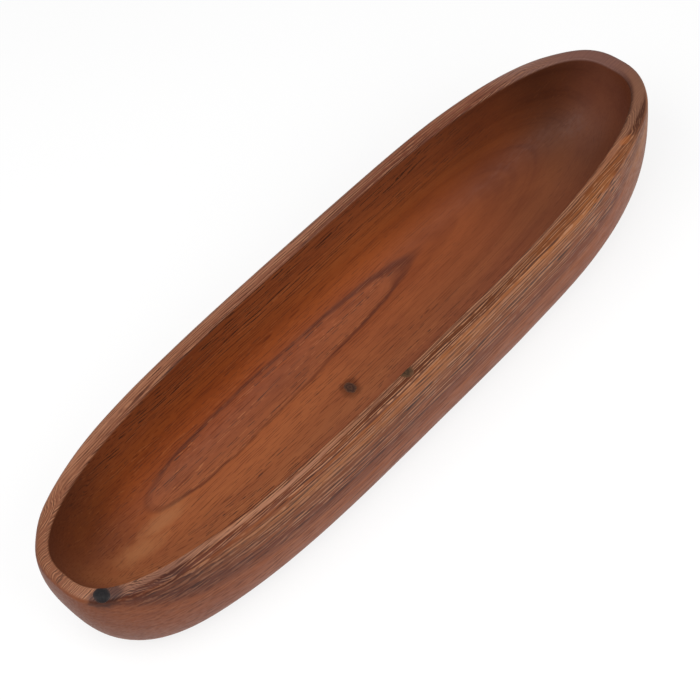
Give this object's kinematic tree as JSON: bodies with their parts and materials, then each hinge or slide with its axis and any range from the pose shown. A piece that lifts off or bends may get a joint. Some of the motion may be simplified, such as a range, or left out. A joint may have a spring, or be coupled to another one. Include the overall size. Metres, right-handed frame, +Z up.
{
  "type": "wooden serving bowl",
  "caption": "Long boat-shaped wooden bowl carved from one block, with a dished hollow, a rounded level rim, a flat base and dark knots in its floor and rim.",
  "frame": {"origin": "middle of the flat base, on the surface that the bowl stands on", "axes": "+X along the bowl and its grain, +Y across it, +Z up out of the hollow"},
  "size_m": [0.5071, 0.1382, 0.08],
  "materials": {
    "bowl_wood": "oiled, satin",
    "knot_wood": "oiled, dull"
  },
  "bodies": {
    "root": {"bowl_body": "bowl_wood", "floor_knot": "knot_wood", "inner_rim_knot": "knot_wood", "end_rim_knot": "knot_wood"}
  },
  "joints": []
}
